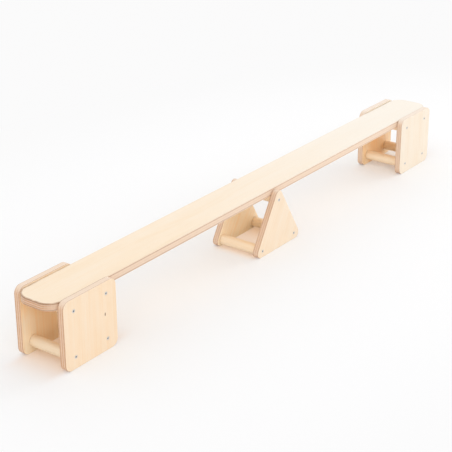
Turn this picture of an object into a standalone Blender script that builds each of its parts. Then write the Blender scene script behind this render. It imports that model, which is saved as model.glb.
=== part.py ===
# Wooden balance beam: a plywood plank carried by two square end stands and a triangular middle stand.
# Units are metres and +Z is up. X runs along the beam, and its front faces -Y.
# The origin lies on the floor, below the middle of the plank.

import math

import bmesh
import bpy
from mathutils import Matrix, Vector

# Plank
PLANK_LENGTH = 1.800
PLANK_WIDTH = 0.120
PLANK_THICKNESS = 0.0205
PLANK_CORNER_RADIUS = 0.040
PLANK_EDGE_RADIUS = 0.0008
# Depth of the coves in the plank's underside, which drop over the end stands' bearers
COVE_DEPTH = 0.0078

# Side panels of the stands
PANEL_THICKNESS = 0.018
PANEL_EDGE_RADIUS = 0.0008
END_PANEL_LENGTH = 0.185
END_PANEL_HEIGHT = 0.185
END_PANEL_CORNER_RADIUS = 0.020
MIDDLE_PANEL_LENGTH = 0.2035
MIDDLE_PANEL_CORNER_RADIUS = 0.016

# Places of the stands: the plank reaches past the end stands, and the middle one slides along the beam
PLANK_OVERHANG = 0.020
MIDDLE_STAND_OFFSET = 0.0032

# Places of the dowels in their stands, as the wood or the air left beside them
BEARER_CROWN_DEPTH = 0.017
END_DOWEL_SIDE_MARGIN = 0.0205
END_RAIL_FLOOR_GAP = 0.016
MIDDLE_RAIL_FLOOR_GAP = 0.0033
MIDDLE_RAIL_END_MARGIN = 0.0083
MIDDLE_APEX_MARGIN = 0.015

# Dowels: the low ones are rails, and the high ones are bearers that carry the plank
DOWEL_DIAMETER = 0.030
# The middle stand's bearer has no cove above it, and is thinner
MIDDLE_BEARER_DIAMETER = 0.025

# Countersunk wood screws with a cross recess
SCREW_LENGTH = 0.050
SCREW_SHANK_DIAMETER = 0.0045
SCREW_HEAD_DIAMETER = 0.0090
SCREW_TIP_LENGTH = 0.006
SCREW_SINK = 0.0003
RECESS_SPAN = 0.0046
RECESS_WIDTH = 0.0011
RECESS_DEPTH = 0.0018
RECESS_TAPER = 0.7
PILOT_RUNOUT = 0.002
# Each screw is driven to a different turn of its recess
SCREW_TURN_STEP = math.radians(37.0)

# Clearances: plank to panel, seat to seat, and screw to hole
PLANK_SIDE_CLEARANCE = 0.0010
SEAT_GAP = 0.0003
SCREW_CLEARANCE = 0.0003

# Mesh fineness, and how far a cutter reaches past the faces that it opens
DOWEL_SEGMENTS = 32
SCREW_SEGMENTS = 16
CORNER_STEPS = 8
EDGE_STEPS = 2
CUTTER_REACH = 0.002
MERGE_DISTANCE = 0.000001
SHARP_ANGLE = math.radians(25.0)

# Colours as linear RGB, with roughness and metallic values
PLANK_FINISH = ((0.87, 0.76, 0.58), 0.45, 0.0)
PANEL_FINISH = ((0.83, 0.66, 0.46), 0.50, 0.0)
DOWEL_FINISH = ((0.80, 0.62, 0.39), 0.50, 0.0)
SCREW_FINISH = ((0.62, 0.64, 0.66), 0.30, 1.0)

# Sizes that follow from the driving ones
DOWEL_RADIUS = DOWEL_DIAMETER / 2
MIDDLE_BEARER_RADIUS = MIDDLE_BEARER_DIAMETER / 2
SHANK_RADIUS = SCREW_SHANK_DIAMETER / 2
HEAD_RADIUS = SCREW_HEAD_DIAMETER / 2
SCREW_HOLE_RADIUS = SHANK_RADIUS + SCREW_CLEARANCE
STAND_INNER_WIDTH = PLANK_WIDTH + 2 * PLANK_SIDE_CLEARANCE
DOWEL_LENGTH = STAND_INNER_WIDTH - 2 * SEAT_GAP
PILOT_DEPTH = SCREW_SINK + SCREW_LENGTH - PANEL_THICKNESS - SEAT_GAP + PILOT_RUNOUT
COVE_RADIUS = DOWEL_RADIUS + SEAT_GAP

# Heights of the dowels' axes and of the plank's underside
BEARER_HEIGHT = END_PANEL_HEIGHT - BEARER_CROWN_DEPTH - DOWEL_RADIUS
END_RAIL_HEIGHT = END_RAIL_FLOOR_GAP + DOWEL_RADIUS
UNDERSIDE_HEIGHT = BEARER_HEIGHT + COVE_RADIUS - COVE_DEPTH
MIDDLE_BEARER_HEIGHT = UNDERSIDE_HEIGHT - SEAT_GAP - MIDDLE_BEARER_RADIUS
MIDDLE_RAIL_HEIGHT = MIDDLE_RAIL_FLOOR_GAP + DOWEL_RADIUS
MIDDLE_PANEL_HEIGHT = MIDDLE_BEARER_HEIGHT + MIDDLE_BEARER_RADIUS + MIDDLE_APEX_MARGIN

# Places along the beam: each stand's centre, and its dowels' offsets from that centre
END_STAND_OFFSET = PLANK_LENGTH / 2 - PLANK_OVERHANG - END_PANEL_LENGTH / 2
END_DOWEL_OFFSET = END_PANEL_LENGTH / 2 - END_DOWEL_SIDE_MARGIN - DOWEL_RADIUS
MIDDLE_RAIL_OFFSET = MIDDLE_PANEL_LENGTH / 2 - MIDDLE_RAIL_END_MARGIN - DOWEL_RADIUS

# Turns that stand a flat piece up with its outer face to the front or to the back
FACE_FRONT = Matrix.Rotation(math.radians(90), 4, "X")
FACE_BACK = Matrix.Rotation(math.radians(180), 4, "Z") @ FACE_FRONT


def clear_scene():
    for item in list(bpy.data.objects):
        bpy.data.objects.remove(item, do_unlink=True)


def make_material(name, finish):
    colour, roughness, metallic = finish
    material = bpy.data.materials.new(name)
    material.use_nodes = True
    shader = material.node_tree.nodes["Principled BSDF"]
    shader.inputs["Base Color"].default_value = (*colour, 1.0)
    shader.inputs["Roughness"].default_value = roughness
    shader.inputs["Metallic"].default_value = metallic
    material.diffuse_color = (*colour, 1.0)
    return material


def smooth(mesh):
    mesh.shade_smooth()
    mesh.set_sharp_from_angle(angle=SHARP_ANGLE)
    return mesh


def finish_mesh(name, shape):
    # Mesh data of a shape, with its faces pointing out
    bmesh.ops.recalc_face_normals(shape, faces=shape.faces)
    mesh = bpy.data.meshes.new(name)
    shape.to_mesh(mesh)
    shape.free()
    return smooth(mesh)


def add_object(name, mesh, parent=None, location=(0, 0, 0), turn=None):
    item = bpy.data.objects.new(name, mesh)
    bpy.context.scene.collection.objects.link(item)
    item.location = location
    if turn is not None:
        item.rotation_euler = turn.to_euler()
    item.parent = parent
    return item


def cut_mesh(name, mesh, cutter_mesh):
    # Mesh data of a piece with the cutter's shape taken out of it
    piece = add_object(name, mesh)
    cutter = add_object(name + "_cutter", cutter_mesh)
    cutter.hide_render = True
    cutter.display_type = "WIRE"
    boolean = piece.modifiers.new("cut", "BOOLEAN")
    boolean.operation = "DIFFERENCE"
    boolean.solver = "EXACT"
    boolean.object = cutter
    depsgraph = bpy.context.evaluated_depsgraph_get()
    result = bpy.data.meshes.new_from_object(piece.evaluated_get(depsgraph))
    result.name = name
    for item in (piece, cutter):
        bpy.data.objects.remove(item, do_unlink=True)
    return smooth(result)


def rounded_outline(centres, radius):
    # Outline round equal circles, whose centres run counter-clockwise
    points = []
    for index, (x, y) in enumerate(centres):
        before = centres[index - 1]
        after = centres[(index + 1) % len(centres)]
        start = math.atan2(before[0] - x, y - before[1])
        end = math.atan2(x - after[0], after[1] - y)
        sweep = (end - start) % (2 * math.pi)
        for step in range(CORNER_STEPS + 1):
            angle = start + sweep * step / CORNER_STEPS
            points.append((x + radius * math.cos(angle), y + radius * math.sin(angle)))
    return points


def rounded_rectangle(left, right, low, high, radius):
    centres = [
        (left + radius, low + radius),
        (right - radius, low + radius),
        (right - radius, high - radius),
        (left + radius, high - radius),
    ]
    return rounded_outline(centres, radius)


def rounded_triangle(length, height, radius):
    foot = length / 2 - radius
    return rounded_outline([(-foot, radius), (foot, radius), (0.0, height - radius)], radius)


def slab(outline, thickness, edge_radius):
    # Board of the given outline from z = 0 to its thickness, with both rims rounded over
    shape = bmesh.new()
    face = shape.faces.new([shape.verts.new((x, y, 0.0)) for x, y in outline])
    raised = bmesh.ops.extrude_face_region(shape, geom=[face])["geom"]
    raised_verts = [item for item in raised if isinstance(item, bmesh.types.BMVert)]
    bmesh.ops.translate(shape, verts=raised_verts, vec=(0, 0, thickness))
    bmesh.ops.recalc_face_normals(shape, faces=shape.faces)
    rims = [edge for edge in shape.edges if abs(edge.verts[0].co.z - edge.verts[1].co.z) < MERGE_DISTANCE]
    bmesh.ops.bevel(shape, geom=rims, offset=edge_radius, segments=EDGE_STEPS, profile=0.5, affect="EDGES")
    return shape


def add_lathe(shape, profile, segments, x=0.0, y=0.0):
    # Turn (radius, height) points, which start and end on the axis, about a line along Z
    points = [shape.verts.new((x + radius, y, height)) for radius, height in profile]
    edges = [shape.edges.new(pair) for pair in zip(points, points[1:])]
    bmesh.ops.spin(
        shape,
        geom=points + edges,
        cent=(x, y, 0),
        axis=(0, 0, 1),
        angle=2 * math.pi,
        steps=segments,
        use_merge=True,
    )
    bmesh.ops.remove_doubles(shape, verts=shape.verts, dist=MERGE_DISTANCE)


def lathe(profile, segments):
    shape = bmesh.new()
    add_lathe(shape, profile, segments)
    return shape


def screw_hole_profile():
    # Clearance hole with a countersink that opens at the panel's outer face
    mouth = PANEL_THICKNESS + CUTTER_REACH
    head_top = PANEL_THICKNESS - SCREW_SINK
    sink_foot = head_top - (HEAD_RADIUS - SHANK_RADIUS)
    mouth_radius = HEAD_RADIUS + SCREW_CLEARANCE + mouth - head_top
    return [
        (0.0, mouth),
        (mouth_radius, mouth),
        (SCREW_HOLE_RADIUS, sink_foot),
        (SCREW_HOLE_RADIUS, -CUTTER_REACH),
        (0.0, -CUTTER_REACH),
    ]


def panel_mesh(name, outline, dowel_places):
    # Panel with its inner face at z = 0 and a countersunk hole for each dowel
    board = finish_mesh(name, slab(outline, PANEL_THICKNESS, PANEL_EDGE_RADIUS))
    holes = bmesh.new()
    for x, height in dowel_places:
        add_lathe(holes, screw_hole_profile(), SCREW_SEGMENTS, x, height)
    return cut_mesh(name, board, finish_mesh(name + "_holes", holes))


def dowel_mesh(name, radius):
    # Dowel along Z, centred, with a pilot hole in each end
    end = DOWEL_LENGTH / 2
    pilot_floor = end - PILOT_DEPTH
    profile = [
        (0.0, pilot_floor),
        (SCREW_HOLE_RADIUS, pilot_floor),
        (SCREW_HOLE_RADIUS, end),
        (radius, end),
        (radius, -end),
        (SCREW_HOLE_RADIUS, -end),
        (SCREW_HOLE_RADIUS, -pilot_floor),
        (0.0, -pilot_floor),
    ]
    return finish_mesh(name, lathe(profile, DOWEL_SEGMENTS))


def recess_cutter():
    # Plus-shaped prism that narrows towards its floor
    arm = RECESS_SPAN / 2
    side = RECESS_WIDTH / 2
    shape = bmesh.new()
    rings = []
    for height, size in ((CUTTER_REACH, 1.0), (0.0, 1.0), (-RECESS_DEPTH, RECESS_TAPER)):
        ring = []
        for quarter in range(4):
            turn = Matrix.Rotation(quarter * math.pi / 2, 2)
            for x, y in ((arm, -side), (arm, side), (side, side)):
                ring.append(shape.verts.new((*(turn @ Vector((x, y)) * size), height)))
        rings.append(ring)
    shape.faces.new(rings[0])
    shape.faces.new(rings[-1])
    for upper, lower in zip(rings, rings[1:]):
        for index in range(len(upper)):
            shape.faces.new((upper[index - 1], upper[index], lower[index], lower[index - 1]))
    return shape


def screw_mesh():
    # Screw along Z with the top of its head at z = 0
    head_height = HEAD_RADIUS - SHANK_RADIUS
    profile = [
        (0.0, 0.0),
        (HEAD_RADIUS, 0.0),
        (SHANK_RADIUS, -head_height),
        (SHANK_RADIUS, SCREW_TIP_LENGTH - SCREW_LENGTH),
        (0.0, -SCREW_LENGTH),
    ]
    blank = finish_mesh("screw", lathe(profile, SCREW_SEGMENTS))
    return cut_mesh("screw", blank, finish_mesh("screw_recess", recess_cutter()))


def plank_mesh():
    # Plank with its underside at z = 0 and a cove over each bearer of the end stands
    half_length = PLANK_LENGTH / 2
    half_width = PLANK_WIDTH / 2
    outline = rounded_rectangle(-half_length, half_length, -half_width, half_width, PLANK_CORNER_RADIUS)
    board = finish_mesh("plank", slab(outline, PLANK_THICKNESS, PLANK_EDGE_RADIUS))
    reach = half_width + CUTTER_REACH
    profile = [(0.0, reach), (COVE_RADIUS, reach), (COVE_RADIUS, -reach), (0.0, -reach)]
    coves = bmesh.new()
    for stand_x in (-END_STAND_OFFSET, END_STAND_OFFSET):
        for dowel_x in (-END_DOWEL_OFFSET, END_DOWEL_OFFSET):
            add_lathe(coves, profile, DOWEL_SEGMENTS, stand_x + dowel_x)
    bmesh.ops.rotate(coves, verts=coves.verts, matrix=FACE_FRONT.to_3x3())
    bmesh.ops.translate(coves, verts=coves.verts, vec=(0, 0, BEARER_HEIGHT - UNDERSIDE_HEIGHT))
    return cut_mesh("plank", board, finish_mesh("plank_coves", coves))


def add_stand(name, centre, panel, rail, bearer, screw, places):
    # Stand of two panels, with a dowel at each named place and a screw into each dowel's ends
    stand = add_object(name + "_stand", None, None, (centre, 0, 0))
    inner_face = STAND_INNER_WIDTH / 2
    head_top = inner_face + PANEL_THICKNESS - SCREW_SINK
    faces = (("front", -1, FACE_FRONT), ("back", 1, FACE_BACK))
    for face, side, turn in faces:
        add_object(f"{name}_{face}_panel", panel, stand, (0, side * inner_face, 0), turn)
    drive_angle = 0.0
    for place, (x, height) in places.items():
        dowel = bearer if place.endswith("bearer") else rail
        add_object(f"{name}_{place}", dowel, stand, (x, 0, height), FACE_FRONT)
        for face, side, turn in faces:
            drive = turn @ Matrix.Rotation(drive_angle, 4, "Z")
            add_object(f"{name}_{face}_{place}_screw", screw, stand, (x, side * head_top, height), drive)
            drive_angle += SCREW_TURN_STEP


def end_places(outward):
    # Dowels of an end stand whose outer side lies towards the given sign of X
    outer = outward * END_DOWEL_OFFSET
    return {
        "outer_rail": (outer, END_RAIL_HEIGHT),
        "inner_rail": (-outer, END_RAIL_HEIGHT),
        "outer_bearer": (outer, BEARER_HEIGHT),
        "inner_bearer": (-outer, BEARER_HEIGHT),
    }


def middle_places():
    return {
        "left_rail": (-MIDDLE_RAIL_OFFSET, MIDDLE_RAIL_HEIGHT),
        "right_rail": (MIDDLE_RAIL_OFFSET, MIDDLE_RAIL_HEIGHT),
        "bearer": (0.0, MIDDLE_BEARER_HEIGHT),
    }


def build():
    half_panel = END_PANEL_LENGTH / 2
    square = rounded_rectangle(-half_panel, half_panel, 0.0, END_PANEL_HEIGHT, END_PANEL_CORNER_RADIUS)
    triangle = rounded_triangle(MIDDLE_PANEL_LENGTH, MIDDLE_PANEL_HEIGHT, MIDDLE_PANEL_CORNER_RADIUS)
    plank = plank_mesh()
    end_panel = panel_mesh("end_panel", square, end_places(1).values())
    middle_panel = panel_mesh("middle_panel", triangle, middle_places().values())
    dowel = dowel_mesh("dowel", DOWEL_RADIUS)
    middle_bearer = dowel_mesh("middle_bearer", MIDDLE_BEARER_RADIUS)
    screw = screw_mesh()
    plank.materials.append(make_material("plank_plywood", PLANK_FINISH))
    end_panel.materials.append(make_material("end_panel_plywood", PANEL_FINISH))
    middle_panel.materials.append(make_material("middle_panel_plywood", PANEL_FINISH))
    dowel_wood = make_material("dowel_wood", DOWEL_FINISH)
    dowel.materials.append(dowel_wood)
    middle_bearer.materials.append(dowel_wood)
    screw.materials.append(make_material("screw_zinc", SCREW_FINISH))
    add_object("plank", plank, None, (0, 0, UNDERSIDE_HEIGHT))
    add_stand("left", -END_STAND_OFFSET, end_panel, dowel, dowel, screw, end_places(-1))
    add_stand("right", END_STAND_OFFSET, end_panel, dowel, dowel, screw, end_places(1))
    add_stand("middle", MIDDLE_STAND_OFFSET, middle_panel, dowel, middle_bearer, screw, middle_places())


clear_scene()
build()
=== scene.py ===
"""Finish, light and camera for the wooden balance beam."""
import math
from collections import namedtuple

import bpy
from mathutils import Matrix, Vector


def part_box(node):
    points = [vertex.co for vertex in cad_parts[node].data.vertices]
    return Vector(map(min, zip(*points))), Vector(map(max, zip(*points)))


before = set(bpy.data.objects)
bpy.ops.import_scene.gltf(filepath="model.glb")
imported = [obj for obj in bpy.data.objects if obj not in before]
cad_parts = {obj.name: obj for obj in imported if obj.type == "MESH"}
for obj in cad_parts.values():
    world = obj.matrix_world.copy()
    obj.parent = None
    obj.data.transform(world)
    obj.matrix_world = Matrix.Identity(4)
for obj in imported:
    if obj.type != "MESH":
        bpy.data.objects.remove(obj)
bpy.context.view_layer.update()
plank_low, plank_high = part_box("plank")
panel_low, panel_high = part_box("right_back_panel")
END_STAND_PLACE = (panel_low.x + panel_high.x) / 2.0
MIDDLE_STAND_PLACE = sum(corner.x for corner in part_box("middle_front_panel")) / 2.0

# Lengths and places are in metres, and colours are linear. A noise scale is in cells per metre along
# each axis. A fade is where a change starts, where it ends and, where they aren't 0 and 1, the share
# at its start and at its end. A run is the first two of these, as places along the beam


class Nodes:
    """Short ways to add shader nodes to a node tree."""

    def __init__(self, tree):
        self.tree = tree

    def add(self, kind):
        return self.tree.nodes.new("ShaderNode" + kind)

    def put(self, socket, value):
        """Links an output to a socket, or sets the socket's own value."""
        if isinstance(value, bpy.types.NodeSocket):
            self.tree.links.new(value, socket)
        else:
            socket.default_value = value

    def math(self, operation, a, b=None, c=None, clamp=False):
        node = self.add("Math")
        node.operation = operation
        node.use_clamp = clamp
        for socket, value in zip(node.inputs, (a, b, c)):
            if value is not None:
                self.put(socket, value)
        return node.outputs["Value"]

    def plus(self, a, b):
        return self.math("ADD", a, b)

    def minus(self, a, b):
        return self.math("SUBTRACT", a, b)

    def times(self, a, b, clamp=False):
        return self.math("MULTIPLY", a, b, clamp=clamp)

    def line(self, value, slope, start, clamp=False):
        """The value times a slope, plus a start."""
        return self.math("MULTIPLY_ADD", value, slope, start, clamp)

    def absolute(self, value):
        return self.math("ABSOLUTE", value)

    def away(self, value, place):
        """How far a value lies from a place, to either side."""
        return self.absolute(self.minus(value, place))

    def vector(self, operation, a, b=(0.0, 0.0, 0.0), output="Vector"):
        node = self.add("VectorMath")
        node.operation = operation
        self.put(node.inputs[0], a)
        self.put(node.inputs[1], b)
        return node.outputs[output]

    def dot(self, a, b):
        return self.vector("DOT_PRODUCT", a, b, "Value")

    def length(self, vector):
        return self.vector("LENGTH", vector, output="Value")

    def split(self, vector):
        node = self.add("SeparateXYZ")
        self.put(node.inputs[0], vector)
        return node.outputs["X"], node.outputs["Y"], node.outputs["Z"]

    def join(self, x, y, z):
        node = self.add("CombineXYZ")
        for socket, value in zip(node.inputs, (x, y, z)):
            self.put(socket, value)
        return node.outputs["Vector"]

    def noise(self, vector, scale, detail=2.0, roughness=0.5, distortion=0.0):
        """Noise of about 0 to 1."""
        node = self.add("TexNoise")
        node.noise_dimensions = "3D"
        self.put(node.inputs["Vector"], self.vector("MULTIPLY", vector, scale))
        node.inputs["Scale"].default_value = 1.0
        node.inputs["Detail"].default_value = detail
        node.inputs["Roughness"].default_value = roughness
        node.inputs["Distortion"].default_value = distortion
        return node.outputs["Fac"]

    def span(self, value, low, high, out_low=0.0, out_high=1.0, smooth=True):
        """Maps low to high onto out_low to out_high and holds it there outside."""
        node = self.add("MapRange")
        node.interpolation_type = "SMOOTHSTEP" if smooth else "LINEAR"
        node.clamp = True
        names = ("Value", "From Min", "From Max", "To Min", "To Max")
        for key, amount in zip(names, (value, low, high, out_low, out_high)):
            self.put(node.inputs[key], amount)
        return node.outputs["Result"]

    def mix(self, share, a, b):
        """A share of colour b over colour a."""
        node = self.add("Mix")
        node.data_type = "RGBA"
        self.put(node.inputs["Factor"], share)
        for name, colour in (("A", a), ("B", b)):
            self.put([s for s in node.inputs if s.name == name and s.type == "RGBA"][0], colour)
        return [s for s in node.outputs if s.type == "RGBA"][0]

    def ramp(self, value, stops):
        node = self.add("ValToRGB")
        ramp = node.color_ramp
        ramp.elements[0].position, ramp.elements[0].color = stops[0]
        ramp.elements[1].position, ramp.elements[1].color = stops[-1]
        for position, colour in stops[1:-1]:
            ramp.elements.new(position).color = colour
        self.put(node.inputs["Fac"], value)
        return node.outputs["Color"]

    def seen(self):
        """1 where the camera looks, straight, by a reflection or through a clear piece, and 0 for light."""
        path = self.add("LightPath")
        seen = path.outputs["Is Camera Ray"]
        for way in ("Is Glossy Ray", "Is Transmission Ray"):
            seen = self.math("MAXIMUM", seen, path.outputs[way])
        return seen

    def show(self, output_name, share, a, b):
        """Gives the tree's output a share of shader b over shader a."""
        node = self.add("MixShader")
        for socket, value in zip(node.inputs, (share, a, b)):
            self.put(socket, value)
        self.put(self.tree.nodes[output_name].inputs["Surface"], node.outputs["Shader"])


class Surface(Nodes):
    """One material, with coordinates that stay with its piece when the piece moves."""

    def __init__(self, name):
        self.material = bpy.data.materials.new(name)
        self.material.use_nodes = True
        super().__init__(self.material.node_tree)
        self.shader = self.tree.nodes["Principled BSDF"]
        coordinates = self.add("TexCoord")
        self.place = coordinates.outputs["Object"]
        self.normal = coordinates.outputs["Normal"]
        self.box_share = coordinates.outputs["Generated"]
        self.x, self.y, self.z = self.split(self.place)

    def bump(self, height, distance, strength):
        node = self.add("Bump")
        node.inputs["Distance"].default_value = distance
        node.inputs["Strength"].default_value = strength
        self.put(node.inputs["Height"], height)
        self.put(self.shader.inputs["Normal"], node.outputs["Normal"])

    def set(self, **values):
        for key, value in values.items():
            self.put(self.shader.inputs[key.replace("_", " ")], value)


# Plywood veneer: tones run from the dark to the pale figure

PLANK_TONES = ((0.892, 0.685, 0.454, 1.0), (0.920, 0.760, 0.573, 1.0), (0.924, 0.806, 0.660, 1.0))
PANEL_TONES = ((0.856, 0.615, 0.381, 1.0), (0.884, 0.686, 0.485, 1.0), (0.888, 0.729, 0.560, 1.0))
# Warmer tones for inner faces below the plank: painted shade with warm bounce light
WARM_SHADE_TONES = ((0.955, 0.690, 0.397, 1.0), (0.975, 0.790, 0.557, 1.0), (0.978, 0.840, 0.640, 1.0))
TONE_STOPS = (0.1, 0.5, 0.95)
# Paler tones to the right: partly the wood's own tone and partly painted light
FACE_PALE_AND_PAINTED_LIGHT = (0.890, 0.872, 0.824, 1.0)
PANEL_PALE_AND_PAINTED_LIGHT = (0.740, 0.840, 0.860, 1.0)
# Deep orange of painted shade with warm bounce light, deepest inside the end stands
DEEP_WARM_SHADE = (0.980, 0.562, 0.210, 1.0)

NOISE_MEAN = 0.5
BAND_SCALE = (1.3, 24.0, 24.0)
STREAK_SCALE = (3.5, 150.0, 150.0)
MOTTLE_SCALE = (28.0, 55.0, 55.0)
CONTOUR_SCALE = (1.0, 10.0, 10.0)
CONTOUR_RADIANS = 75.0
PORE_SCALE = (90.0, 1500.0, 1500.0)
PORE_FADE = (0.60, 0.74)
PORE_SHARE = 0.18
BAND_WEIGHT = 0.8
STREAK_WEIGHT = 0.9
MOTTLE_WEIGHT = 0.3
CONTOUR_WEIGHT = 0.07

# Tones by place, fitted to the photograph, so part of them is painted light and shade and not the wood.
# Faces are paler to the right, partly the wood's tone and partly painted light. Inner faces below the plank
# are warmer, painted shade with warm bounce light, deepest in the middle of an end stand, high up, to the
# right and in the dark streaks
PALE_AND_PAINTED_LIGHT_RUN = (-0.6, 0.8)
WARM_SHADE_BY_HEIGHT = (0.174, 0.160)
WARM_SHADE_DEPTHS = (0.0025, 0.0010)
DEEP_BY_CENTRE = (0.080, 0.020, 0.0, 0.38)
DEEP_BY_HEIGHT = (0.08, 0.14, 0.0, 0.45)
DEEP_BY_PLACE = (0.2, 0.7, 0.0, 0.20)
DEEP_STREAKS = 0.6

VENEER_ROUGHNESS = 0.36
STREAK_ROUGHNESS = 0.14
VENEER_BUMP = 0.0004
VENEER_BUMP_STRENGTH = 0.25
PORE_BUMP = -0.6

# Gain is the figure's contrast. The other two shares say how far the paler tone on the right, partly
# painted light, and the warmer inner tones, painted shade with warm bounce light, take over
Veneer = namedtuple("Veneer", "tones gain bleach_share bleach_tone sheltered_share")
PLANK_VENEER = Veneer(PLANK_TONES, 0.6, 0.62, FACE_PALE_AND_PAINTED_LIGHT, 0.6)
PANEL_VENEER = Veneer(PANEL_TONES, 1.0, 0.28, PANEL_PALE_AND_PAINTED_LIGHT, 1.0)

# Plywood edges

EDGE_LONG = (0.833, 0.660, 0.520, 1.0)
EDGE_END = (0.610, 0.310, 0.150, 1.0)
EDGE_PALE = (0.865, 0.687, 0.540, 1.0)
# Brown of glue lines and stains, used also for the darker arris and for painted shade at the panels' feet
# and where dowels meet panels
GLUE_AND_SHADE_BROWN = (0.340, 0.175, 0.090, 1.0)

INNER_PLIES = 5
PLY_WAVE = 0.0005
WAVE_SCALE = (45.0, 45.0, 45.0)
# More end grain to the left, which is painted shade on the left edges
END_GRAIN_AND_SHADE_BY_PLACE = (-0.8, 0.3, 1.34, 0.65)
SPECKLE_SCALE = (900.0, 900.0, 900.0)
SPECKLE_GAIN = 0.4
SPECKLE_LEAST = 0.8
PATCH_SCALE = (60.0, 60.0, 160.0)
PATCH_FADE = (0.35, 0.8, 0.0, 0.25)
GLUE_FADE = (0.0003, 0.0, 0.0, 0.25)
# Glue lines darker to the left, partly painted shade
GLUE_AND_SHADE_RUN = (-0.8, 0.8)
INNER_SIDE = (0.6, 0.4)
INNER_SIDE_GAIN = 0.8
EDGE_BY_FACING = (0.92, 0.60)

# into and beside are the shares of end grain in the plies across and along the face grain, where the
# face grain runs into the edge and where it runs beside it. pale and the field after it say how pale an
# edge of the first kind is, and how much paler it is to the right, partly painted light. veneer is the
# outer veneer's thickness, glue_line the half width of its glue line, and the last field says how dark that
# line is on the left and the right, its darkening on the left partly painted shade
Edges = namedtuple("Edges", "into beside pale bleach veneer glue_line glue_shares")
PLANK_EDGES = Edges((0.45, 1.00), (0.20, 0.10), 0.0, 0.00, 0.0028, 0.0018, (0.72, 0.36))
PANEL_EDGES = Edges((0.00, 0.10), (0.66, 0.26), 1.0, 0.30, 0.0012, 0.0010, (0.60, 0.35))

# A board's axes, along the face grain, across it and out of the face, its thickness, and a function
# that gives how far a place lies from the board's lower or inner face
Board = namedtuple("Board", "along across out thickness depth")


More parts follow.
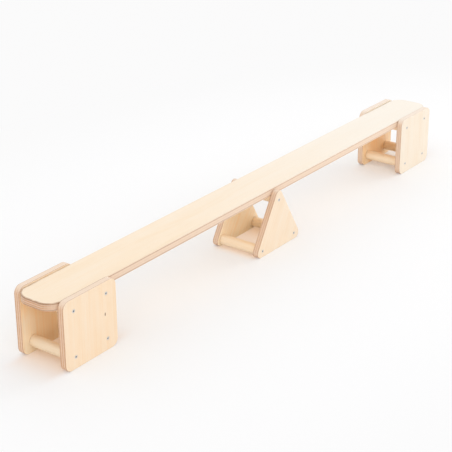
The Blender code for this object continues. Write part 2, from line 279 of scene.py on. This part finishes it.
class Plywood(Surface):
    """Birch plywood: veneer with grain on the faces, plies and glue lines on the edges."""

    def __init__(self, name, board, veneer, edges):
        super().__init__(name)
        self.board = board
        self.veneer = veneer
        self.edges = edges
        self.depth = board.depth(self)
        self.add_figure()
        self.add_plies()

    def add_figure(self):
        """Veneer figure: broad bands, streaks, mottle and contour lines along the grain, and pores."""
        axes = (self.board.along, self.board.across, self.board.out)
        grain = self.join(*[self.dot(self.place, axis) for axis in axes])
        self.streaks = self.noise(grain, STREAK_SCALE, detail=4.0, roughness=0.6)
        self.pores = self.span(self.noise(grain, PORE_SCALE, detail=1.0), *PORE_FADE)
        weighed = (
            (self.noise(grain, BAND_SCALE), BAND_WEIGHT),
            (self.streaks, STREAK_WEIGHT),
            (self.noise(grain, MOTTLE_SCALE), MOTTLE_WEIGHT),
        )
        figure = -NOISE_MEAN * sum(weight for noise, weight in weighed)
        for noise, weight in weighed:
            figure = self.line(noise, weight, figure)
        contour_field = self.noise(grain, CONTOUR_SCALE, detail=1.5, roughness=0.45, distortion=0.25)
        contours = self.math("SINE", self.times(contour_field, CONTOUR_RADIANS))
        figure = self.line(contours, CONTOUR_WEIGHT, figure)
        self.figure = self.line(figure, self.veneer.gain, TONE_STOPS[1])

    def add_plies(self):
        """Height in the core of plies, a little wavy, and how squarely an edge cuts the face grain."""
        self.ply = (self.board.thickness - 2.0 * self.edges.veneer) / INNER_PLIES
        self.half_core = self.ply * INNER_PLIES / 2.0
        waviness = self.noise(self.place, WAVE_SCALE, detail=1.0)
        level = self.line(waviness, PLY_WAVE, self.depth)
        self.level = self.plus(level, -NOISE_MEAN * PLY_WAVE - self.edges.veneer)
        self.patches = self.noise(self.place, PATCH_SCALE, detail=3.0)
        self.into_grain = self.turned_to(self.board.along)
        self.beside_grain = self.turned_to(self.board.across)

    def turned_to(self, axis):
        """Square of the normal's part along an axis."""
        return self.math("POWER", self.absolute(self.dot(self.normal, axis)), 2.0)

    def figured(self, tones):
        return self.ramp(self.figure, tuple(zip(TONE_STOPS, tones)))

    def face(self):
        """Veneer, paler to the right, partly painted light, and warmer below the plank, painted shade with
        warm bounce light.
        """
        tones = self.veneer.tones
        open_face = self.mix(self.times(self.pores, PORE_SHARE), self.figured(tones), tones[0])
        # Paler to the right: partly the wood's tone and partly painted light
        bleach = self.span(self.x, *PALE_AND_PAINTED_LIGHT_RUN, 0.0, self.veneer.bleach_share)
        open_face = self.mix(bleach, open_face, self.veneer.bleach_tone)
        # Painted shade with warm bounce light on faces below the plank
        inside = self.span(self.depth, *WARM_SHADE_DEPTHS, 0.0, self.veneer.sheltered_share)
        warm_shade = self.times(inside, self.span(self.z, *WARM_SHADE_BY_HEIGHT))
        return self.mix(warm_shade, open_face, self.warm_shade_face())

    def warm_shade_face(self):
        """Veneer in its warmer tones: painted shade with warm bounce light."""
        from_centre = self.away(self.absolute(self.x), END_STAND_PLACE)
        deep = self.plus(self.span(from_centre, *DEEP_BY_CENTRE), self.span(self.z, *DEEP_BY_HEIGHT))
        deep = self.plus(deep, self.span(self.x, *DEEP_BY_PLACE))
        deep = self.line(self.minus(NOISE_MEAN, self.streaks), DEEP_STREAKS, deep, clamp=True)
        return self.mix(deep, self.figured(WARM_SHADE_TONES), DEEP_WARM_SHADE)

    def end_grain(self):
        """Share of end grain: plies across and along the face grain take turns, two to a turn."""
        turn = self.math("FRACT", self.times(self.level, 0.5 / self.ply))
        crosswise = self.math("LESS_THAN", turn, 0.5)
        into_cross, into_long = self.edges.into
        beside_cross, beside_long = self.edges.beside
        into = self.line(crosswise, into_cross - into_long, into_long)
        beside = self.line(crosswise, beside_cross - beside_long, beside_long)
        # End grain grows to the left: painted shade on the left edges
        beside = self.times(beside, self.span(self.x, *END_GRAIN_AND_SHADE_BY_PLACE, smooth=False))
        share = self.line(self.into_grain, into, self.times(self.beside_grain, beside))
        speckle = self.noise(self.place, SPECKLE_SCALE)
        return self.times(share, self.line(speckle, SPECKLE_GAIN, SPECKLE_LEAST), clamp=True)

    def outer_glue(self):
        """Share of the broad glue lines beside the veneers, darker on the inner side of a panel's end."""
        from_middle = self.away(self.level, self.half_core)
        line = self.span(self.away(from_middle, self.half_core), self.edges.glue_line, 0.0)
        # Glue line darker to the left, partly painted shade
        share = self.times(self.span(self.x, *GLUE_AND_SHADE_RUN, *self.edges.glue_shares, smooth=False), line)
        inner_start, inner_end = (part * self.half_core for part in INNER_SIDE)
        inner_side = self.span(self.level, inner_start, inner_end, 0.0, self.edges.pale)
        inner_side = self.times(self.into_grain, inner_side)
        return self.times(share, self.line(inner_side, INNER_SIDE_GAIN, 1.0), clamp=True)

    def edge(self):
        """Plies, glue lines and patches on the board's edges."""
        edge = self.mix(self.end_grain(), EDGE_LONG, EDGE_END)
        edge = self.mix(self.times(self.into_grain, self.edges.pale), edge, EDGE_PALE)
        edge = self.mix(self.span(self.patches, *PATCH_FADE), edge, self.veneer.tones[0])
        from_joint = self.math("PINGPONG", self.level, self.ply / 2.0)
        edge = self.mix(self.span(from_joint, *GLUE_FADE), edge, GLUE_AND_SHADE_BROWN)
        edge = self.mix(self.outer_glue(), edge, GLUE_AND_SHADE_BROWN)
        # Edges paler to the right: partly painted light
        bleach = self.times(self.into_grain, self.span(self.x, *PALE_AND_PAINTED_LIGHT_RUN, 0.0, self.edges.bleach))
        return self.mix(bleach, edge, FACE_PALE_AND_PAINTED_LIGHT)

    def finished(self, face, edge):
        """The material, with one colour on the faces and another on the edges."""
        facing = self.absolute(self.dot(self.normal, self.board.out))
        colour = self.mix(self.span(facing, *EDGE_BY_FACING), face, edge)
        self.set(Base_Color=colour, Roughness=self.line(self.streaks, STREAK_ROUGHNESS, VENEER_ROUGHNESS))
        self.bump(self.line(self.pores, PORE_BUMP, self.streaks), VENEER_BUMP, VENEER_BUMP_STRENGTH)
        return self.material


# Plank: its arris is darker in patches, most of all at the left end

PLANK_CORNER_RADIUS = 0.040
RIM_PATCH_SCALE = (70.0, 70.0, 70.0)
DARK_RIM_BY_PLACE = (-0.80, -0.88, 0.10, 0.80)
DARK_RIM_BY_PATCHES = (0.30, 0.62, 0.35, 1.0)
DARK_RIM_BY_DISTANCE = (0.0055, 0.0010)
UPPER_VENEER_FADE = (-0.0004, 0.0004)
STAIN_FADE = (0.40, 0.75, 0.05, 0.40)


def plank_depth(s):
    return s.minus(s.z, plank_low.z)


def plank_rim(s):
    """How far in from the plank's rounded outline a place lies."""
    radius = PLANK_CORNER_RADIUS
    past_x = s.minus(s.absolute(s.x), plank_high.x - radius)
    past_y = s.minus(s.absolute(s.y), plank_high.y - radius)
    corner = s.join(s.math("MAXIMUM", past_x, 0.0), s.math("MAXIMUM", past_y, 0.0), 0.0)
    within = s.math("MINIMUM", s.math("MAXIMUM", past_x, past_y), 0.0)
    return s.minus(radius, s.plus(s.length(corner), within))


def plank_plywood(name, board):
    """Plywood with an arris darker in patches and stains on the edges at the ends."""
    s = Plywood(name, board, PLANK_VENEER, PLANK_EDGES)
    rim_patches = s.noise(s.place, RIM_PATCH_SCALE)
    # The arris is darker in patches, most of all at the left end
    dark_rim = s.times(s.span(s.x, *DARK_RIM_BY_PLACE), s.span(rim_patches, *DARK_RIM_BY_PATCHES))
    face = s.mix(s.times(dark_rim, s.span(plank_rim(s), *DARK_RIM_BY_DISTANCE)), s.face(), GLUE_AND_SHADE_BROWN)
    upper_veneer = s.span(s.minus(s.level, 2.0 * s.half_core), *UPPER_VENEER_FADE)
    edge = s.mix(s.times(upper_veneer, dark_rim), s.edge(), GLUE_AND_SHADE_BROWN)
    stains = s.times(s.into_grain, s.span(s.patches, *STAIN_FADE))
    return s.finished(face, s.mix(stains, edge, GLUE_AND_SHADE_BROWN))


# Panels: one has a small knot, and their edges carry painted shade at the feet, where they meet the floor

KNOT_BROWN = (0.160, 0.065, 0.025, 1.0)
KNOT_PLACE = (-0.737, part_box("left_front_panel")[0].y, 0.0995)
KNOT_RADII = (0.0018, 0.0020, 0.0050)
KNOT_FADE = (1.3, 0.5)
# Painted shade on the edges near the floor
FOOT_SHADE_TONE_BY_HEIGHT = (0.022, 0.006, 0.0, 0.50)
FOOT_SHADE_BY_HEIGHT = (0.012, 0.001, 0.0, 0.35)


def panel_depth(s):
    return s.minus(s.absolute(s.y), panel_low.y)


def panel_plywood(name, board, knot=None):
    """Plywood that stands on the floor."""
    s = Plywood(name, board, PANEL_VENEER, PANEL_EDGES)
    face = s.face()
    if knot:
        from_knot = s.vector("MULTIPLY", s.vector("SUBTRACT", s.place, knot), [1.0 / r for r in KNOT_RADII])
        face = s.mix(s.span(s.length(from_knot), *KNOT_FADE), face, KNOT_BROWN)
    # Painted shade on the edges near the floor
    edge = s.mix(s.span(s.z, *FOOT_SHADE_TONE_BY_HEIGHT), s.edge(), EDGE_END)
    edge = s.mix(s.span(s.z, *FOOT_SHADE_BY_HEIGHT), edge, GLUE_AND_SHADE_BROWN)
    return s.finished(face, edge)


# Dowels, which lie along the Y axis: painted shade where they meet the panels and, as in the photograph,
# painted shade that makes them duller on the left

DOWEL_DARK = (0.950, 0.709, 0.449, 1.0)
DOWEL_PALE = (0.980, 0.816, 0.622, 1.0)
# Painted shade for the dowels on the left
DOWEL_SHADE = (0.740, 0.580, 0.400, 1.0)
DOWEL_STOPS = ((0.2, DOWEL_DARK), (0.75, DOWEL_PALE))
DOWEL_STREAK_SCALE = (170.0, 3.0, 170.0)
DOWEL_BAND_SCALE = (40.0, 1.5, 40.0)
DOWEL_WEIGHT = 0.6
DOWEL_TONE_START = -0.1
FLECK_SCALE = (700.0, 120.0, 700.0)
FLECK_FADE = (0.62, 0.75)
FLECK_SHARE = 0.22
FLECK_BUMP = -0.5
# Painted shade where a dowel meets a panel
CONTACT_SHADE_FADE = (0.0030, 0.0005, 0.0, 0.20)
DOWEL_SHADE_BY_PLACE = (-0.8, 0.2, 0.40, 0.0)
DOWEL_ROUGHNESS = 0.42
DOWEL_STREAK_ROUGHNESS = 0.12
DOWEL_BUMP = 0.0003
DOWEL_BUMP_STRENGTH = 0.25


def dowel_wood(name):
    """Straight-grained dowel wood, with streaks along the dowel and short flecks."""
    s = Surface(name)
    streaks = s.noise(s.place, DOWEL_STREAK_SCALE, detail=3.0, roughness=0.55)
    bands = s.noise(s.place, DOWEL_BAND_SCALE)
    flecks = s.span(s.noise(s.place, FLECK_SCALE, detail=1.0), *FLECK_FADE)
    tone = s.line(bands, DOWEL_WEIGHT, s.line(streaks, DOWEL_WEIGHT, DOWEL_TONE_START))
    colour = s.mix(s.times(flecks, FLECK_SHARE), s.ramp(tone, DOWEL_STOPS), DOWEL_DARK)
    # Painted shade where the dowel meets a panel
    to_panel = s.minus(panel_low.y, s.absolute(s.y))
    colour = s.mix(s.span(to_panel, *CONTACT_SHADE_FADE), colour, GLUE_AND_SHADE_BROWN)
    # Painted shade that makes the dowels on the left duller
    colour = s.mix(s.span(s.x, *DOWEL_SHADE_BY_PLACE), colour, DOWEL_SHADE)
    s.set(Base_Color=colour, Roughness=s.line(streaks, DOWEL_STREAK_ROUGHNESS, DOWEL_ROUGHNESS))
    s.bump(s.line(flecks, FLECK_BUMP, streaks), DOWEL_BUMP, DOWEL_BUMP_STRENGTH)
    return s.material


# Screws, which lie along the Y axis: a place's radius is measured in shares of the screw's box

ZINC = (0.790, 0.795, 0.790, 1.0)
# Duller zinc for patches, and for painted shade round the screw's middle
ZINC_DULL_AND_SHADE = (0.330, 0.330, 0.325, 1.0)
# Painted shade inside the cross recess
RECESS_SHADE = (0.040, 0.042, 0.045, 1.0)
SCREW_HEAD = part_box("left_back_outer_rail_screw")[1].y
SCREW_ACROSS = (1.0, 0.0, 1.0)
BOX_CENTRE = (0.5, 0.5, 0.5)
ZINC_MOTTLE_SCALE = (600.0, 600.0, 600.0)
SCRATCH_SCALE = (2500.0, 300.0, 500.0)
DULL_BY_MOTTLE = (0.35, 0.75, 0.0, 0.2)
SHADE_BY_RADIUS = (0.40, 0.14, 0.0, 0.8)
RECESS_SHADE_BY_DEPTH = (0.0001, 0.0009, 0.0, 0.9)
ZINC_METALLIC = 0.9
ZINC_ROUGHNESS = 0.25
MOTTLE_ROUGHNESS = 0.25
SCRATCH_BUMP = 0.0001
SCRATCH_BUMP_STRENGTH = 0.2


def zinc(name):
    """Zinc-plated steel, dull in patches, with painted shade round the middle and inside the cross recess.
    """
    s = Surface(name)
    mottle = s.noise(s.place, ZINC_MOTTLE_SCALE, detail=3.0, roughness=0.6)
    scratches = s.noise(s.place, SCRATCH_SCALE)
    radius = s.length(s.vector("MULTIPLY", s.vector("SUBTRACT", s.box_share, BOX_CENTRE), SCREW_ACROSS))
    # Duller in patches, with painted shade round the middle
    dull_and_shade = s.plus(s.span(mottle, *DULL_BY_MOTTLE), s.span(radius, *SHADE_BY_RADIUS))
    sunk = s.minus(SCREW_HEAD, s.absolute(s.y))
    # Painted shade inside the cross recess
    colour = s.mix(s.span(sunk, *RECESS_SHADE_BY_DEPTH), s.mix(dull_and_shade, ZINC, ZINC_DULL_AND_SHADE), RECESS_SHADE)
    roughness = s.line(mottle, MOTTLE_ROUGHNESS, ZINC_ROUGHNESS)
    s.set(Base_Color=colour, Metallic=ZINC_METALLIC, Roughness=roughness)
    s.bump(scratches, SCRATCH_BUMP, SCRATCH_BUMP_STRENGTH)
    return s.material


# Floor: white, and lifted towards the seen white by the distance from the beam's middle, less so along
# the beam. Between a stand's panels, where the wood throws a warm light, it is lifted to a warm tone

FLOOR_HALF = 9.0
FLOOR_WHITE = (0.920, 0.921, 0.926, 1.0)
FLOOR_ROUGHNESS = 0.9
FLOOR_SPECULAR = 0.1
SEEN_WHITE = (0.965, 0.962, 0.963, 1.0)
SEEN_WARM = (0.880, 0.520, 0.290, 1.0)
SEEN_GOLD = (1.000, 0.735, 0.560, 1.0)
LIFT_SCALE = (0.6, 1.0, 1.0)
LIFT_BY_DISTANCE = (0.5, 1.3, 0.20, 1.0)
END_LIFT = 0.25
MIDDLE_LIFT = 0.35
BETWEEN_PANELS = (0.085, 0.055)
END_REACH = (0.19, 0.04)
END_TINT_BY_PLACE = (-0.6, 0.6, 1.0, 0.3)
MIDDLE_REACH = (0.128, 0.084)
MIDDLE_PALEST = -0.02
WARM_FROM_PALEST = (0.02, 0.10)


def under_stand(s, from_centre, reach, y):
    """1 on the floor between a stand's panels, and 0 away from the stand."""
    return s.times(s.span(from_centre, *reach), s.span(s.absolute(y), *BETWEEN_PANELS))


def floor_paint(name):
    """White floor that keeps shadows, and that fades into the surroundings where the camera sees it."""
    s = Surface(name)
    s.set(Base_Color=FLOOR_WHITE, Roughness=FLOOR_ROUGHNESS, Specular_IOR_Level=FLOOR_SPECULAR)
    end_tint = under_stand(s, s.away(s.absolute(s.x), END_STAND_PLACE), END_REACH, s.y)
    end_tint = s.times(end_tint, s.span(s.x, *END_TINT_BY_PLACE))
    # The middle stand's own coordinates, so that its tint goes along when it slides
    with_middle = s.add("TexCoord")
    with_middle.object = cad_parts["middle_front_panel"]
    middle_x, middle_y = s.split(with_middle.outputs["Object"])[:2]
    middle_tint = under_stand(s, s.away(middle_x, MIDDLE_STAND_PLACE), MIDDLE_REACH, middle_y)
    middle_warmth = s.span(s.away(middle_x, MIDDLE_PALEST), *WARM_FROM_PALEST)
    middle_tone = s.mix(middle_warmth, SEEN_GOLD, SEEN_WARM)
    white = s.add("Emission")
    s.put(white.inputs["Color"], s.mix(middle_tint, s.mix(end_tint, SEEN_WHITE, SEEN_WARM), middle_tone))
    distance = s.length(s.vector("MULTIPLY", s.place, LIFT_SCALE))
    lift = s.line(end_tint, END_LIFT, s.span(distance, *LIFT_BY_DISTANCE))
    lift = s.line(middle_tint, MIDDLE_LIFT, lift)
    share = s.times(s.seen(), lift, clamp=True)
    s.show("Material Output", share, s.shader.outputs["BSDF"], white.outputs["Emission"])
    return s.material


def add_floor():
    half = FLOOR_HALF
    mesh = bpy.data.meshes.new("floor")
    corners = [(-half, -half, 0.0), (half, -half, 0.0), (half, half, 0.0), (-half, half, 0.0)]
    mesh.from_pydata(corners, [], [(0, 1, 2, 3)])
    mesh.materials.append(floor_paint("floor_white"))
    floor = bpy.data.objects.new("floor", mesh)
    bpy.context.scene.collection.objects.link(floor)


# Light: the surroundings glow softly from several directions, and a softbox stands far off to the right

DIAGONAL = math.sqrt(0.5)
GLOW = (
    ((-1.0, 0.0, 0.0), 0.60),
    ((1.0, 0.0, 0.0), 1.22),
    ((0.0, -1.0, 0.0), 0.82),
    ((0.0, 1.0, 0.0), 0.92),
    ((-0.5, -0.5, DIAGONAL), 1.00),
    ((0.0, DIAGONAL, DIAGONAL), 0.60),
)
PLAIN_WHITE = (1.0, 1.0, 1.0, 1.0)
SOFTBOX_PLACE = Vector((6.4, -2.4, 2.1))
SOFTBOX_TARGET = Vector((0.0, 0.0, 0.1))
SOFTBOX_SIZE = 3.2
SOFTBOX_WATTS = 120.0


def add_world():
    """White surroundings whose brightness is a sum of soft glows, and which the camera sees as white."""
    world = bpy.data.worlds.new("studio")
    world.use_nodes = True
    s = Nodes(world.node_tree)
    direction = s.add("TexCoord").outputs["Generated"]
    strength = 0.0
    for axis, brightness in GLOW:
        towards = s.math("MAXIMUM", s.dot(direction, axis), 0.0)
        strength = s.line(s.math("POWER", towards, 2.0), brightness, strength)
    lit = s.tree.nodes["Background"]
    s.put(lit.inputs["Color"], PLAIN_WHITE)
    s.put(lit.inputs["Strength"], strength)
    white = s.add("Background")
    s.put(white.inputs["Color"], SEEN_WHITE)
    s.show("World Output", s.seen(), lit.outputs["Background"], white.outputs["Background"])
    bpy.context.scene.world = world


def add_softbox():
    lamp = bpy.data.lights.new("right_softbox", "AREA")
    lamp.shape = "SQUARE"
    lamp.size = SOFTBOX_SIZE
    lamp.energy = SOFTBOX_WATTS
    holder = bpy.data.objects.new("right_softbox", lamp)
    holder.location = SOFTBOX_PLACE
    aim = SOFTBOX_TARGET - SOFTBOX_PLACE
    holder.rotation_euler = aim.to_track_quat("-Z", "Y").to_euler()
    bpy.context.scene.collection.objects.link(holder)


# Camera, as fitted to the photograph: angles in degrees, sensor in millimetres

CAMERA_PLACE = (-2.8097, -1.9813, 1.5663)
CAMERA_AZIMUTH = -53.405
CAMERA_ELEVATION = 23.825
CAMERA_ROLL = -0.197
SENSOR_WIDTH = 36.0
IMAGE_WIDTH = 452
FOCAL_PIXELS = 1308.8


def add_camera():
    azimuth = math.radians(CAMERA_AZIMUTH)
    elevation = math.radians(CAMERA_ELEVATION)
    roll = math.radians(CAMERA_ROLL)
    back = Vector((
        math.sin(azimuth) * math.cos(elevation),
        -math.cos(azimuth) * math.cos(elevation),
        math.sin(elevation),
    ))
    level = Vector((math.cos(azimuth), math.sin(azimuth), 0.0))
    upright = back.cross(level)
    right = level * math.cos(roll) + upright * math.sin(roll)
    up = back.cross(right)
    camera = bpy.data.cameras.new("camera")
    camera.sensor_fit = "HORIZONTAL"
    camera.sensor_width = SENSOR_WIDTH
    camera.lens = FOCAL_PIXELS / IMAGE_WIDTH * SENSOR_WIDTH
    camera.dof.use_dof = False
    holder = bpy.data.objects.new("camera", camera)
    turn = Matrix((right, up, back)).transposed()
    holder.matrix_world = Matrix.Translation(CAMERA_PLACE) @ turn.to_4x4()
    bpy.context.scene.collection.objects.link(holder)
    bpy.context.scene.camera = holder


# Boards and their finishes: the middle panels' grain runs along one slanted edge

X_AXIS = (1.0, 0.0, 0.0)
Y_AXIS = (0.0, 1.0, 0.0)
Z_AXIS = (0.0, 0.0, 1.0)
SLANT = math.radians(60.0)
SLANT_ALONG = (math.cos(SLANT), 0.0, math.sin(SLANT))
SLANT_ACROSS = (-math.sin(SLANT), 0.0, math.cos(SLANT))
PLANK_THICKNESS = plank_high.z - plank_low.z
PANEL_THICKNESS = panel_high.y - panel_low.y
PLANK_BOARD = Board(X_AXIS, Y_AXIS, Z_AXIS, PLANK_THICKNESS, plank_depth)
END_PANEL_BOARD = Board(Z_AXIS, X_AXIS, Y_AXIS, PANEL_THICKNESS, panel_depth)
MIDDLE_PANEL_BOARD = Board(SLANT_ALONG, SLANT_ACROSS, Y_AXIS, PANEL_THICKNESS, panel_depth)

plank_finish = plank_plywood("plank_birch", PLANK_BOARD)
end_panel_finish = panel_plywood("end_panel_birch", END_PANEL_BOARD, KNOT_PLACE)
middle_panel_finish = panel_plywood("middle_panel_birch", MIDDLE_PANEL_BOARD)
dowel_finish = dowel_wood("dowel_birch")
screw_finish = zinc("screw_zinc_plate")


def finish_for(node):
    if node.endswith("screw"):
        return screw_finish
    if node.endswith(("rail", "bearer")):
        return dowel_finish
    if node == "plank":
        return plank_finish
    return middle_panel_finish if node.startswith("middle") else end_panel_finish


for node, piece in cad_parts.items():
    piece.data.materials.clear()
    piece.data.materials.append(finish_for(node))

add_floor()
add_world()
add_softbox()
add_camera()
bpy.context.scene.view_settings.view_transform = "Standard"
